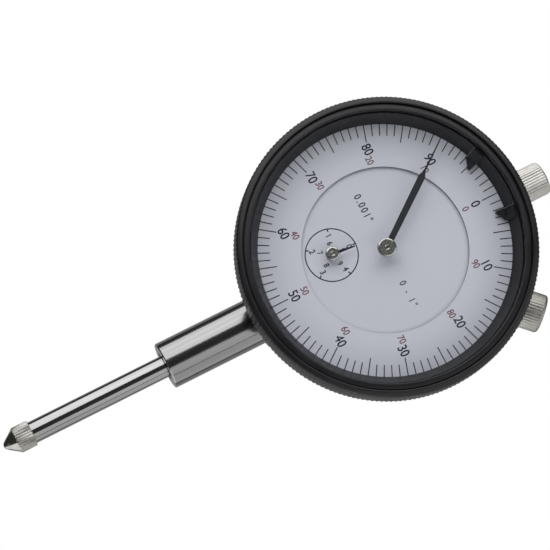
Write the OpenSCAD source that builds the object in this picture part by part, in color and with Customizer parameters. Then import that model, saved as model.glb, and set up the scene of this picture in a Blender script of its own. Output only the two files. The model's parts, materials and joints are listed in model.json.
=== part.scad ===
// Dial indicator, one inch travel, 0.001 inch graduations.
// +Z runs up the spindle, the dial faces -Y, +X is to the right of the dial.
// The origin is on the spindle axis, half way along the bare length of the stem.

/* [Stem and spindle] */
// diameter of the clamping stem
stem_diameter = 9.525; // [6:0.005:12]
// bare length of the stem below the case
stem_length = 20.2; // [12:0.1:30]
// length of the stepped spigot that sits in the case
spigot_length = 5.4; // [3:0.1:8]
// diameter of that spigot
spigot_diameter = 8.4; // [6:0.1:9]
// chamfer on the lower edge of the stem
stem_chamfer = 0.2; // [0.1:0.1:1]
// diameter of the sliding spindle
spindle_diameter = 4.4; // [3:0.1:5]
// radial clearance of the spindle in its bushings
slide_clearance = 0.025; // [0.01:0.005:0.1]
// outside diameter of the lower bushing
lower_bushing_diameter = 5.8; // [5.5:0.1:8]
// length of the lower bushing
lower_bushing_length = 6.7; // [4:0.1:10]
// height of the dial centre above the origin
dial_height = 37.5; // [30:0.1:50]
// height of the spindle shoulder above the dial centre
spindle_top = 30.3; // [28:0.1:34]

/* [Contact point] */
// drop from the stem's lower face to the tip
tip_drop = 35.15; // [20:0.05:40]
// diameter of the knurled collar
collar_diameter = 5.3; // [4:0.1:7]
// length of the collar
collar_length = 3.45; // [2:0.05:6]
// length of the nose below the collar
nose_length = 2.65; // [1.5:0.05:5]
// radius of the ball in the nose
ball_radius = 1; // [0.6:0.1:2]
// radius of the cone's lower edge round the ball
nose_edge_radius = 0.94; // [0.5:0.02:2]
// height of that edge above the tip
nose_edge_height = 0.55; // [0.3:0.05:1]
// radius of the threaded shank inside the spindle
point_shank_radius = 1.1; // [0.8:0.05:1.3]
// length of that shank
point_shank_length = 5; // [3:0.5:8]

/* [Lifting knob and upper bushing] */
// diameter of the lifting knob
knob_diameter = 6.9; // [5:0.1:9]
// length of the lifting knob
knob_length = 7.45; // [4:0.05:10]
// chamfer on the knob's outer edge
knob_chamfer = 0.5; // [0.2:0.1:1]
// radius of the spindle's reduced end inside the knob
knob_shank_radius = 1.5; // [1:0.1:2]
// length of that reduced end
knob_shank_length = 5.2; // [3:0.1:7]
// outside diameter of the upper bushing
upper_bushing_diameter = 6; // [5.5:0.1:7]
// diameter of its flange
upper_flange_diameter = 7.8; // [7:0.1:9]
// height above the dial centre of the flange's under side
upper_flange_base = 27.4; // [27:0.1:28]
// height above the dial centre of the flange's top
upper_flange_top = 30.2; // [29:0.1:31]
// height above the dial centre of the bushing's lower end
upper_bushing_base = 23.5; // [22:0.1:25]

/* [Bezel] */
// distance from the spindle axis forward to the dial face
dial_setback = 11.3; // [9:0.1:14]
// outside radius of the bezel rim
rim_radius = 29.65; // [25:0.05:32]
// forward reach of the rim from the dial face
rim_front = 4.95; // [3:0.05:6]
// rearward reach of the rim from the dial face
rim_rear = 2.2; // [1:0.1:3]
// rearward reach of the bezel skirt from the dial face
skirt_rear = 4.7; // [3:0.1:6]
// outside radius of the skirt
skirt_radius = 28.75; // [28.5:0.05:29.5]
// visible radius of the dial
dial_radius = 25; // [20:0.1:27]
// inside radius of the bezel wall at the crystal
wall_top_radius = 26.55; // [25:0.05:28]
// height of the crystal seat over the dial
crystal_height = 3.1; // [3:0.05:4]
// radius of the crystal
crystal_radius = 26.85; // [26:0.05:28]
// thickness of the crystal at its edge
crystal_edge = 0.6; // [0.5:0.05:1.5]
// rise of the crystal's middle over its edge
crystal_rise = 0.5; // [0:0.1:1.5]
// outside radius of the lip that holds the crystal
lip_radius = 28.1; // [27:0.05:29]
// inside radius of the rim round the lip
groove_radius = 28.25; // [28:0.01:29]
// height of the groove's floor over the dial
groove_height = 4; // [2:0.1:4.5]
// height of the lip's crest over the dial
lip_height = 4.6; // [3.8:0.05:4.8]

/* [Dial plates] */
// inside radius of the turning dial ring
ring_inner_radius = 16.5; // [12:0.05:20]
// outside radius of the turning dial ring
ring_outer_radius = 26.4; // [25.5:0.1:26.5]
// thickness of each dial plate
plate_thickness = 0.4; // [0.2:0.05:0.6]
// step from the ring's face down to the fixed dial
dial_step = 0.5; // [0.45:0.05:1]
// radius of the fixed dial
fixed_dial_radius = 17.2; // [16.5:0.1:18]

/* [Case] */
// outside radius of the case's shoulder under the bezel skirt
shoulder_radius = 27.9; // [26:0.1:28]
// distance from the spindle axis forward to the shoulder's rear face
shoulder_setback = 6.9; // [5:0.1:9]
// outside radius of the case
case_radius = 26.2; // [25:0.1:28]
// inside radius of the case
case_inner_radius = 24.7; // [24:0.1:26.5]
// distance from the spindle axis back to the rear edge
case_rear = 7.6; // [6:0.1:10]
// radius of the register that the bezel turns on
register_radius = 26.5; // [26:0.1:26.5]
// radial clearance between register and bezel
register_clearance = 0.06; // [0.02:0.01:0.1]
// inside radius of the front flange
flange_inner_radius = 16.5; // [15:0.1:18]
// inside radius of the register
register_inner_radius = 24.6; // [23:0.1:25.5]
// radius of the boss round the stem's spigot
stem_boss_radius = 5.6; // [5:0.1:9]
// radius of the boss round the upper bushing
bushing_boss_radius = 5; // [4:0.1:7]
// radius of the boss round the clamp screw
clamp_boss_radius = 3.2; // [2:0.1:4]
// radius of the bosses for the back screws
screw_boss_radius = 2.5; // [1.5:0.1:3]

/* [Back cover and lug] */
// thickness of the back cover
cover_thickness = 1.6; // [1:0.1:3]
// thickness of the lug
lug_thickness = 6.35; // [5:0.05:8]
// width and end diameter of the lug
lug_width = 12.7; // [10:0.1:16]
// radius of the lug hole
lug_hole_radius = 3.175; // [2.5:0.005:4]
// distance from the spindle axis back to the lug hole
lug_setback = 15; // [14:0.1:20]
// radius of the lug's round foot
lug_foot_radius = 9.5; // [8:0.1:14]
// radius of the back screw circle
back_screw_circle = 22.7; // [21:0.1:25]
// radius of each back screw's shank
back_screw_radius = 0.9; // [0.6:0.1:1.2]
// radius of each back screw's head
back_head_radius = 1.7; // [1.3:0.1:2]

/* [Movement] */
// pitch of the rack in the spindle
rack_pitch = 0.635; // [0.5:0.005:1]
// teeth on the pinion that the rack drives
rack_pinion_teeth = 20; // [16:1:30]
// teeth on each large gear
gear_teeth = 80; // [60:1:100]
// teeth on the centre pinion
pinion_teeth = 16; // [12:1:20]
// tooth module of the gears
gear_module = 0.22; // [0.15:0.01:0.3]
// clearance between tooth flanks
backlash = 0.06; // [0.03:0.01:0.1]
// sideways offset of the rack arbor from the centre arbor
arbor_offset = 3.8; // [3:0.1:6]
// radius of every arbor
arbor_radius = 0.6; // [0.4:0.05:1]
// radial clearance of the arbors in their bushes
pivot_clearance = 0.03; // [0.01:0.01:0.1]
// thickness of the large gears
gear_thickness = 0.6; // [0.4:0.1:1]
// radius of the movement plates
movement_radius = 19.5; // [18:0.1:20]
// outside radius of the pivot bushes
bush_radius = 1.4; // [1:0.1:2]
// radius of the movement's screw shanks
small_screw_radius = 0.7; // [0.4:0.1:1]
// radius of the movement's screw heads
small_head_radius = 1.2; // [0.8:0.1:1.6]
// height of the movement's screw heads
small_head_height = 0.6; // [0.3:0.1:1]
// radius of the circle of screws that hold the movement
mount_circle = 18; // [16:0.1:19]

/* [Hands] */
// radius of the main hand's tip
hand_reach = 23.8; // [18:0.1:25]
// radius where the broad blade ends
blade_reach = 15.8; // [8:0.1:18]
// half width of the blade at the hub
blade_root_half_width = 0.6; // [0.3:0.02:1]
// half width of the blade at its outer end
blade_half_width = 0.7; // [0.3:0.02:1]
// half width of the needle where it leaves the blade
needle_half_width = 0.22; // [0.1:0.02:0.4]
// half width of the needle at its tip
needle_tip_half_width = 0.1; // [0.05:0.01:0.2]
// thickness of the hands
hand_thickness = 0.22; // [0.1:0.02:0.4]
// radius of the main hub
main_hub_radius = 1.9; // [1:0.02:2.5]
// radius of the small hub
small_hub_radius = 1.4; // [0.8:0.05:2]
// reach of the small hand
small_hand_reach = 4.7; // [3:0.1:5]
// turn of the main hand from straight up, anticlockwise
main_hand_turn = 36.5; // [0:0.5:359]
// turn of the small hand from straight up, clockwise
small_hand_turn = 7.2; // [0:0.1:72]

/* [Limit hands] */
// clockwise angle of the left limit hand's measuring edge
left_limit_angle = -16.4; // [-90:0.1:-5]
// clockwise angle of the right limit hand's measuring edge
right_limit_angle = 7.4; // [5:0.1:90]
// arc of each limit hand's clip
limit_arc = 5.6; // [3:0.1:12]
// radius of the limit hands' tips
limit_reach = 22.75; // [20:0.05:24]
// thickness of the limit hands
limit_thickness = 0.45; // [0.3:0.05:0.8]
// clearance between limit hand and bezel wall
limit_clearance = 0.04; // [0.02:0.01:0.1]

/* [Clamp] */
// clockwise angle of the clamp screw
clamp_angle = 45; // [30:1:80]
// distance of the clamp screw axis behind the spindle axis
clamp_setback = 1; // [-2:0.1:4]
// radius of the clamp screw's outer end
clamp_outer_radius = 34.75; // [32:0.05:40]
// radius of the knob's inner face
clamp_knob_base = 29.65; // [29:0.05:32]
// diameter of the clamp knob
clamp_knob_diameter = 7.8; // [5:0.1:9]
// radius of the clamp shank
clamp_shank_radius = 1.22; // [1:0.01:2]
// clearance round the clamp shank
clamp_clearance = 0.05; // [0.02:0.01:0.1]
// width of the clamp pad
clamp_pad_width = 5; // [4:0.1:10]

/* [Hidden] */
$fn = 96;
stem_bottom = -stem_length / 2;
stem_top = stem_length / 2;
tip_height = stem_bottom - tip_drop;
point_top = tip_height + nose_length + collar_length;
spindle_radius = spindle_diameter / 2;
bushing_bore = spindle_radius + slide_clearance;
dial_y = -dial_setback;
rack_pinion_radius = rack_pinion_teeth * rack_pitch / (2 * PI);
rack_module = rack_pitch / PI;
rack_line = -arbor_offset + rack_pinion_radius;
arbor_distance = gear_module * (gear_teeth + pinion_teeth) / 2;
arbor_drop = sqrt(arbor_distance * arbor_distance - arbor_offset * arbor_offset);
mesh_angle = atan2(-arbor_drop, -arbor_offset);
pressure_angle = 20;
rack_depth = 0.25;
rack_first_gap = -43;
rack_last_gap = 3;
front_plate_front = -8.3;
front_plate_rear = -7.3;
rear_plate_front = -3.6;
rear_plate_rear = -2.8;
cock_front = 2.9;
cock_rear = 3.7;
gear_rear = -4.9;
gear_front = gear_rear - gear_thickness;
fixed_dial_face = dial_y + dial_step;
flange_front = -9.6;
flange_rear = -8.4;
register_front = -10.7;
snap_front = -10.43;
snap_rear = -10.07;
snap_root_radius = 26.1;
snap_outer_radius = 26.9;
bushing_boss_top = 27.9;
clamp_boss_base = 21.5;
clamp_shank_base = 21;
spacer_inner_radius = 14.5;
lightening_circle = 5;
lightening_radius = 1.9;
back_boss_front = 1.5;
post_drop = 17.5;
pin_drop = 4.2;
spring_offset = 5;
spring_radius = 1.1;
wire_radius = 0.16;
hook_radius = 1.1;
coil_count = 14;
pin_radius = 0.8;
pin_reach = 9.5;
rail_inner = 7.6;
rail_outer = 10;
rail_slot = 9.7;
rail_base = -8;
rail_top = 22.3;
rail_rear = 1.6;
pillar_places = [[17, 0], [-17, 0], [9.75, -13.9], [-9.75, 13.9]];
cock_places = [[-9.6, -5.2], [-9.2, -14]];
mount_angles = [30, 150, 210, 330];
back_angles = [30, 150, 210, 330];
hairspring_turns = 4;
hairspring_inner = 1.4;
hairspring_outer = 7;
hairspring_strip = 0.12;
hub_rear = dial_y - 2.15;
hub_front = dial_y - 2.75;
small_hub_rear = dial_y - 1;
small_hub_front = dial_y - 1.5;

// flat outline in the dial's plane, given depth from front to rear
module slab(front, rear) {
  translate([0, rear, dial_height])
    rotate([90, 0, 0])
      linear_extrude(height = rear - front)
        children();
}

// outline of radius and forward height turned about the dial's axis
module turned(start = 0, sweep = 360) {
  translate([0, dial_y, dial_height])
    rotate([90, 0, 0])
      rotate([0, 0, start])
        rotate_extrude(angle = sweep, $fn = 180)
          children();
}

// round bar along Y at a place in the dial's plane
module bar(place, radius, front, rear) {
  translate([place[0], rear, dial_height + place[1]])
    rotate([90, 0, 0])
      cylinder(r = radius, h = rear - front, $fn = 48);
}

// children placed on a radial axis, clockwise from straight up
module radial(angle, setback) {
  translate([0, setback, dial_height])
    rotate([0, angle, 0])
      children();
}

function on_circle(radius, angle) = [radius * cos(angle), radius * sin(angle)];
function from_top(radius, angle) = [radius * sin(angle), radius * cos(angle)];
function roll_angle(cosine) = tan(acos(cosine)) * 180 / PI - acos(cosine);
function base_radius(teeth, size) = teeth * size / 2 * cos(pressure_angle);
function flank_angle(teeth, size, radius) =
  90 / teeth
  - backlash / (teeth * size) * 90 / PI
  + roll_angle(cos(pressure_angle))
  - roll_angle(min(1, base_radius(teeth, size) / radius));

// outline of a spur gear with a tooth centred on the first axis
module gear_outline(teeth, size, steps) {
  tip = teeth * size / 2 + 0.95 * size;
  root = teeth * size / 2 - 1.2 * size;
  flanks = [
    for (i = [0 : teeth - 1])
      for (k = [0 : 2 * steps + 1])
        let (step = k <= steps ? k : 2 * steps + 1 - k)
        let (radius = root + (tip - root) * step / steps)
        let (side = k <= steps ? -1 : 1)
        on_circle(radius, 360 * i / teeth + side * flank_angle(teeth, size, radius))
  ];
  polygon(flanks);
}

// ---- case group ----

module case() {
  color("dimgray")
  difference() {
    union() {
      turned()
        polygon([
          [flange_inner_radius, dial_y - flange_front],
          [register_inner_radius, dial_y - flange_front],
          [register_inner_radius, dial_y - register_front],
          [register_radius, dial_y - register_front],
          [register_radius, dial_y - snap_front],
          [snap_root_radius, dial_y - snap_front],
          [snap_root_radius, dial_y - snap_rear],
          [register_radius, dial_y - snap_rear],
          [register_radius, dial_y - flange_front],
          [shoulder_radius, dial_y - flange_front],
          [shoulder_radius, dial_y + shoulder_setback],
          [case_radius, dial_y + shoulder_setback],
          [case_radius, dial_y - case_rear],
          [case_inner_radius, dial_y - case_rear],
          [case_inner_radius, dial_y - flange_rear],
          [flange_inner_radius, dial_y - flange_rear]
        ]);
      translate([0, 0, stem_top])
        cylinder(r = stem_boss_radius, h = spigot_length - 0.1);
      translate([0, 0, dial_height + upper_bushing_base])
        cylinder(r = bushing_boss_radius, h = bushing_boss_top - upper_bushing_base);
      radial(clamp_angle, clamp_setback)
        translate([0, 0, clamp_boss_base])
          cylinder(r = clamp_boss_radius, h = skirt_radius - 0.05 - clamp_boss_base);
      for (angle = back_angles)
        bar(on_circle(back_screw_circle, angle), screw_boss_radius, back_boss_front, case_rear);
    }
    translate([0, 0, stem_top - 1])
      cylinder(d = spigot_diameter, h = spigot_length + 2);
    translate([0, 0, dial_height + upper_bushing_base - 1])
      cylinder(d = upper_bushing_diameter, h = 7);
    translate([0, 0, dial_height + upper_flange_base])
      cylinder(d = upper_flange_diameter, h = 3);
    radial(clamp_angle, clamp_setback)
      translate([0, 0, clamp_boss_base - 1])
        cylinder(r = clamp_shank_radius + clamp_clearance, h = skirt_radius - clamp_boss_base + 2);
    for (angle = back_angles)
      bar(on_circle(back_screw_circle, angle), back_screw_radius, 3, case_rear + 1);
    for (angle = mount_angles)
      bar(on_circle(mount_circle, angle), small_screw_radius, flange_front - 1, flange_rear + 1);
  }
}

module back_cover() {
  color("dimgray")
  difference() {
    union() {
      turned()
        polygon([
          [0, dial_y - case_rear],
          [case_radius, dial_y - case_rear],
          [case_radius, dial_y - case_rear - cover_thickness + 0.4],
          [case_radius - 0.4, dial_y - case_rear - cover_thickness],
          [0, dial_y - case_rear - cover_thickness]
        ]);
      bar([0, 0], lug_foot_radius, case_rear, case_rear + cover_thickness + 0.9);
      translate([-lug_thickness / 2, case_rear, dial_height - lug_width / 2])
        cube([lug_thickness, lug_setback - case_rear, lug_width]);
      translate([-lug_thickness / 2, lug_setback, dial_height])
        rotate([0, 90, 0])
          cylinder(d = lug_width, h = lug_thickness);
    }
    translate([-lug_thickness / 2 - 1, lug_setback, dial_height])
      rotate([0, 90, 0])
        cylinder(r = lug_hole_radius, h = lug_thickness + 2);
    for (angle = back_angles)
      bar(on_circle(back_screw_circle, angle), back_screw_radius, case_rear - 1, case_rear + 3);
    for (angle = back_angles)
      bar(on_circle(back_screw_circle, angle), back_head_radius, case_rear + 0.8, case_rear + 3);
  }
}

module back_screws() {
  color("silver")
  for (angle = back_angles)
    difference() {
      union() {
        bar(on_circle(back_screw_circle, angle), back_screw_radius, 3.2, case_rear + 1);
        bar(on_circle(back_screw_circle, angle), back_head_radius, case_rear + 0.8, case_rear + 1.5);
      }
      slab(case_rear + 1.15, case_rear + 2)
        translate(on_circle(back_screw_circle, angle))
          square([4, 0.4], center = true);
    }
}

module stem() {
  color("silver")
  rotate_extrude()
    polygon([
      [lower_bushing_diameter / 2, stem_bottom],
      [stem_diameter / 2 - stem_chamfer, stem_bottom],
      [stem_diameter / 2, stem_bottom + stem_chamfer],
      [stem_diameter / 2, stem_top],
      [spigot_diameter / 2, stem_top],
      [spigot_diameter / 2, stem_top + spigot_length],
      [lower_bushing_diameter / 2, stem_top + spigot_length]
    ]);
}

module lower_bushing() {
  color("silver")
  translate([0, 0, stem_bottom + 0.1])
    difference() {
      cylinder(d = lower_bushing_diameter, h = lower_bushing_length);
      translate([0, 0, -1])
        cylinder(r = bushing_bore, h = lower_bushing_length + 2);
    }
}

module upper_bushing() {
  color("silver")
  translate([0, 0, dial_height])
    difference() {
      union() {
        translate([0, 0, upper_bushing_base])
          cylinder(d = upper_bushing_diameter, h = upper_flange_top - upper_bushing_base);
        translate([0, 0, upper_flange_base])
          cylinder(d = upper_flange_diameter, h = upper_flange_top - upper_flange_base);
      }
      translate([0, 0, upper_bushing_base - 1])
        cylinder(r = bushing_bore, h = 9);
    }
}

// ---- movement frame ----

module front_plate() {
  color("goldenrod")
  difference() {
    bar([0, 0], movement_radius, front_plate_front, front_plate_rear);
    bar([0, 0], bush_radius, front_plate_front - 1, front_plate_rear + 1);
    bar([-arbor_offset, -arbor_drop], bush_radius, front_plate_front - 1, front_plate_rear + 1);
    bar([arbor_offset, arbor_drop], bush_radius, front_plate_front - 1, front_plate_rear + 1);
    for (angle = mount_angles)
      bar(on_circle(mount_circle, angle), small_screw_radius, front_plate_front - 1, front_plate_rear + 1);
  }
}

module movement_screws() {
  color("silver")
  for (angle = mount_angles) {
    place = on_circle(mount_circle, angle);
    bar(place, small_screw_radius, flange_front + 0.1, front_plate_rear + 0.3);
    bar(place, small_head_radius, front_plate_rear, front_plate_rear + small_head_height);
  }
}

module rear_plate() {
  color("goldenrod")
  difference() {
    bar([0, 0], movement_radius, rear_plate_front, rear_plate_rear);
    bar([0, 0], bush_radius, rear_plate_front - 1, rear_plate_rear + 1);
    bar([arbor_offset, arbor_drop], bush_radius, rear_plate_front - 1, rear_plate_rear + 1);
    bar([-arbor_offset, -arbor_drop], 2.6, rear_plate_front - 1, rear_plate_rear + 1);
    for (place = pillar_places)
      bar(place, small_screw_radius, rear_plate_front - 1, rear_plate_rear + 1);
    bar([spring_offset, -post_drop], 0.6, rear_plate_front - 1, rear_plate_rear + 1);
  }
}

module bridge_pillars() {
  color("goldenrod")
  for (place = pillar_places)
    difference() {
      bar(place, 1.3, front_plate_rear, rear_plate_front);
      bar(place, small_screw_radius, rear_plate_front - 2.5, rear_plate_front + 1);
    }
}

module bridge_screws() {
  color("silver")
  for (place = pillar_places) {
    bar(place, small_screw_radius, rear_plate_front - 2.4, rear_plate_rear + 0.3);
    bar(place, small_head_radius, rear_plate_rear, rear_plate_rear + small_head_height);
  }
}

module bush(place, front, rear) {
  difference() {
    bar(place, bush_radius, front, rear);
    bar(place, arbor_radius + pivot_clearance, front - 1, rear + 1);
  }
}

module front_bushes() {
  color("gold") {
    bush([0, 0], front_plate_front - 0.2, front_plate_rear + 0.2);
    bush([-arbor_offset, -arbor_drop], front_plate_front - 0.2, front_plate_rear + 0.2);
    bush([arbor_offset, arbor_drop], front_plate_front - 0.2, front_plate_rear + 0.2);
  }
}

module rear_bushes() {
  color("gold") {
    bush([0, 0], rear_plate_front - 0.1, rear_plate_rear + 0.1);
    bush([arbor_offset, arbor_drop], rear_plate_front - 0.1, rear_plate_rear + 0.1);
    bush([-arbor_offset, -arbor_drop], cock_front - 0.1, cock_rear + 0.1);
  }
}

module rear_cock() {
  color("goldenrod")
  difference() {
    slab(cock_front, cock_rear)
      polygon([
        cock_places[0] + [-2, 0],
        cock_places[0] + [0, 2],
        [-arbor_offset + 0.5, -arbor_drop + 2.4],
        [-arbor_offset + 2.4, -arbor_drop],
        [-arbor_offset + 0.5, -arbor_drop - 2.4],
        cock_places[1] + [0, -2],
        cock_places[1] + [-2, 0]
      ]);
    bar([-arbor_offset, -arbor_drop], bush_radius, cock_front - 1, cock_rear + 1);
    for (place = cock_places)
      bar(place, small_screw_radius, cock_front - 1, cock_rear + 1);
  }
}

module cock_pillars() {
  color("goldenrod")
  for (place = cock_places)
    difference() {
      bar(place, 1.2, rear_plate_rear, cock_front);
      bar(place, small_screw_radius, cock_front - 2.5, cock_front + 1);
    }
}

module cock_screws() {
  color("silver")
  for (place = cock_places) {
    bar(place, small_screw_radius, cock_front - 2.4, cock_rear + 0.3);
    bar(place, small_head_radius, cock_rear, cock_rear + small_head_height);
  }
}

module spindle_guide() {
  color("gray")
  difference() {
    translate([rail_inner, rear_plate_rear, dial_height + rail_base])
      cube([rail_outer - rail_inner, rail_rear - rear_plate_rear, rail_top - rail_base]);
    translate([rail_inner - 1, -pin_radius - 0.03, dial_height + rail_base - 1])
      cube([rail_slot - rail_inner + 1, 2 * pin_radius + 0.06, rail_top - rail_base + 2]);
  }
}

module guide_screws() {
  color("silver")
  for (height = [-6.5, 10]) {
    bar([rail_outer + 1.1, height], 0.6, rear_plate_rear, rear_plate_rear + 1);
    bar([rail_outer + 1.1, height], 1.05, rear_plate_rear + 0.8, rear_plate_rear + 1.4);
  }
}

module spring_hook() {
  rotate([0, 90, 0])
    rotate_extrude($fn = 32)
      translate([hook_radius, 0])
        circle(r = wire_radius, $fn = 12);
}

module return_spring() {
  coil_base = -post_drop + hook_radius;
  coil_top = -pin_drop - hook_radius;
  coil_length = coil_top - coil_base;
  color("lightgray")
  translate([spring_offset, 0, dial_height]) {
    translate([0, 0, coil_base])
      linear_extrude(height = coil_length, twist = -360 * coil_count, slices = coil_count * 20, $fn = 6)
        translate([spring_radius - wire_radius, 0])
          polygon([for (angle = [0 : 60 : 300]) [wire_radius * cos(angle), 1.6 * wire_radius * sin(angle)]]);
    translate([0, 0, -pin_drop])
      spring_hook();
    translate([0, 0, -post_drop])
      rotate([0, 0, 90])
        spring_hook();
    translate([0, 0, coil_base - wire_radius / 2])
      cylinder(r = spring_radius, h = wire_radius, $fn = 32);
    translate([0, 0, coil_top - wire_radius / 2])
      cylinder(r = spring_radius, h = wire_radius, $fn = 32);
  }
}

module spring_post() {
  color("silver")
  bar([spring_offset, -post_drop], 0.6, rear_plate_front, 1.2);
}

module hairspring() {
  turns = [for (k = [0 : 24 * hairspring_turns]) k / 24];
  growth = (hairspring_outer - hairspring_inner) / hairspring_turns;
  inner_edge = [for (t = turns) on_circle(hairspring_inner + growth * t, 360 * t)];
  outer_edge = [
    for (k = [len(turns) - 1 : -1 : 0])
      on_circle(hairspring_inner + hairspring_strip + growth * turns[k], 360 * turns[k])
  ];
  color("steelblue")
  slab(-6.75, -6.45)
    translate([arbor_offset, arbor_drop])
      polygon(concat(inner_edge, outer_edge));
}

module hairspring_stud() {
  color("goldenrod")
  bar([arbor_offset + hairspring_outer + hairspring_strip + 0.45, arbor_drop], 0.45, front_plate_rear, -6.3);
}

module fixed_dial() {
  color("gainsboro")
  difference() {
    bar([0, 0], fixed_dial_radius, fixed_dial_face, fixed_dial_face + plate_thickness);
    bar([0, 0], 1.15, fixed_dial_face - 1, fixed_dial_face + 1);
    bar([-arbor_offset, -arbor_drop], 1.15, fixed_dial_face - 1, fixed_dial_face + 1);
  }
}

module dial_spacer() {
  color("goldenrod")
  difference() {
    bar([0, 0], fixed_dial_radius, fixed_dial_face + plate_thickness, flange_front);
    bar([0, 0], spacer_inner_radius, fixed_dial_face, flange_front + 1);
  }
}

module snap_ring() {
  color("silver")
  turned(300, 330)
    translate([snap_root_radius, dial_y - snap_rear + 0.02])
      square([snap_outer_radius - snap_root_radius, snap_rear - snap_front - 0.04]);
}

// ---- bezel group ----

module bezel_ring() {
  bore = register_radius + register_clearance;
  color("#222222")
  turned()
    polygon([
      [dial_radius, 0],
      [wall_top_radius, crystal_height],
      [crystal_radius, crystal_height],
      [crystal_radius, lip_height - 0.2],
      [crystal_radius + 0.2, lip_height],
      [lip_radius - 0.3, lip_height - 0.3],
      [lip_radius, groove_height + 0.1],
      [lip_radius, groove_height],
      [groove_radius, groove_height],
      [groove_radius, rim_front - 0.2],
      [groove_radius + 0.2, rim_front],
      [rim_radius - 0.35, rim_front - 0.35],
      [rim_radius, rim_front - 0.85],
      [rim_radius, 0.3 - rim_rear],
      [rim_radius - 0.3, -rim_rear],
      [skirt_radius, -rim_rear],
      [skirt_radius, -skirt_rear],
      [shoulder_radius + 0.2, -skirt_rear],
      [shoulder_radius + 0.2, dial_y - flange_front + 0.1],
      [bore, dial_y - flange_front + 0.1],
      [bore, dial_y - snap_rear - 0.1],
      [snap_outer_radius + 0.1, dial_y - snap_rear - 0.1],
      [snap_outer_radius + 0.1, dial_y - snap_front + 0.1],
      [bore, dial_y - snap_front + 0.1],
      [bore, -plate_thickness],
      [ring_outer_radius, -plate_thickness],
      [ring_outer_radius, 0]
    ]);
}

module crystal() {
  color([0.8, 0.9, 1, 0.3])
  turned()
    polygon([
      [0, crystal_height],
      [crystal_radius, crystal_height],
      [crystal_radius, crystal_height + crystal_edge],
      [crystal_radius * 0.9, crystal_height + crystal_edge + crystal_rise * 0.19],
      [crystal_radius * 0.7, crystal_height + crystal_edge + crystal_rise * 0.51],
      [crystal_radius * 0.4, crystal_height + crystal_edge + crystal_rise * 0.84],
      [0, crystal_height + crystal_edge + crystal_rise]
    ]);
}

module dial_ring() {
  color("gainsboro")
  turned()
    translate([ring_inner_radius, -plate_thickness])
      square([ring_outer_radius - ring_inner_radius, plate_thickness]);
}

// clip that lies on the bezel's sloping wall, with a pointed finger over the dial
module limit_hand(angle, side) {
  slope = (wall_top_radius - dial_radius) / crystal_height;
  low = 0.5;
  high = crystal_height - 0.15;
  wall = dial_radius - limit_clearance;
  start = side > 0 ? 90 - angle - limit_arc : 90 - angle;
  turned(start, limit_arc)
    polygon([
      [wall + slope * low, low],
      [wall + slope * high, high],
      [wall + slope * high - limit_thickness, high],
      [wall + slope * low - limit_thickness - 0.2, low + limit_thickness],
      [wall + slope * low - limit_thickness - 0.2, low]
    ]);
  slab(dial_y - low - limit_thickness, dial_y - low)
    polygon([
      from_top(dial_radius - 0.3, angle),
      from_top(limit_reach + 0.3, angle),
      from_top(limit_reach, angle + side * 0.9),
      from_top(limit_reach + 1.4, angle + side * limit_arc),
      from_top(dial_radius - 0.3, angle + side * limit_arc)
    ]);
}

module limit_hand_left() {
  color("#1c1c1c")
  limit_hand(left_limit_angle, -1);
}

module limit_hand_right() {
  color("#1c1c1c")
  limit_hand(right_limit_angle, 1);
}

// ---- spindle group ----

module rack_cutter() {
  flank = tan(pressure_angle);
  tip_line = rack_line - rack_module * 0.95;
  root_line = rack_line + rack_depth;
  half_gap = rack_pitch / 4 + backlash / 4;
  tip_half = half_gap + (rack_line - tip_line) * flank;
  root_half = half_gap - rack_depth * flank;
  gap = [[tip_line, -tip_half], [root_line, -root_half], [root_line, root_half], [tip_line, tip_half]];
  teeth = [
    for (i = [rack_first_gap : rack_last_gap])
      for (corner = gap)
        [corner[0], -arbor_drop + i * rack_pitch + corner[1]]
  ];
  low = -arbor_drop + rack_first_gap * rack_pitch - tip_half;
  high = -arbor_drop + rack_last_gap * rack_pitch + tip_half;
  slab(-3, 3)
    polygon(concat([[-3, low]], teeth, [[-3, high]]));
}

module spindle() {
  color("silver")
  difference() {
    union() {
      translate([0, 0, point_top])
        cylinder(r = spindle_radius, h = dial_height + spindle_top - point_top);
      translate([0, 0, dial_height + spindle_top - 1])
        cylinder(r = knob_shank_radius, h = knob_shank_length + 1);
    }
    translate([0, 0, point_top - 1])
      cylinder(r = point_shank_radius, h = point_shank_length + 1.5);
    translate([-spindle_radius - 1, 0, dial_height - pin_drop])
      rotate([0, 90, 0])
        cylinder(r = pin_radius, h = 2 * spindle_radius + 2);
    rack_cutter();
  }
}

module contact_point() {
  ball_height = tip_height + ball_radius;
  color("silver")
  difference() {
    rotate_extrude()
      polygon([
        [0, tip_height + nose_edge_height],
        [nose_edge_radius, tip_height + nose_edge_height],
        [collar_diameter / 2 - 0.25, point_top - collar_length - 0.15],
        [collar_diameter / 2, point_top - collar_length + 0.15],
        [collar_diameter / 2, point_top - 0.3],
        [collar_diameter / 2 - 0.3, point_top],
        [point_shank_radius, point_top],
        [point_shank_radius, point_top + point_shank_length],
        [0, point_top + point_shank_length]
      ]);
    translate([0, 0, ball_height])
      sphere(r = ball_radius);
  }
}

module contact_ball() {
  color("white")
  translate([0, 0, tip_height + ball_radius])
    sphere(r = ball_radius);
}

module lifting_knob() {
  base = dial_height + spindle_top;
  color("silver")
  rotate_extrude()
    polygon([
      [knob_shank_radius, base],
      [knob_diameter / 2 - 0.3, base],
      [knob_diameter / 2, base + 0.3],
      [knob_diameter / 2, base + knob_length - knob_chamfer - 0.15],
      [knob_diameter / 2 - knob_chamfer, base + knob_length - 0.15],
      [0, base + knob_length],
      [0, base + knob_shank_length],
      [knob_shank_radius, base + knob_shank_length]
    ]);
}

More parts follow.
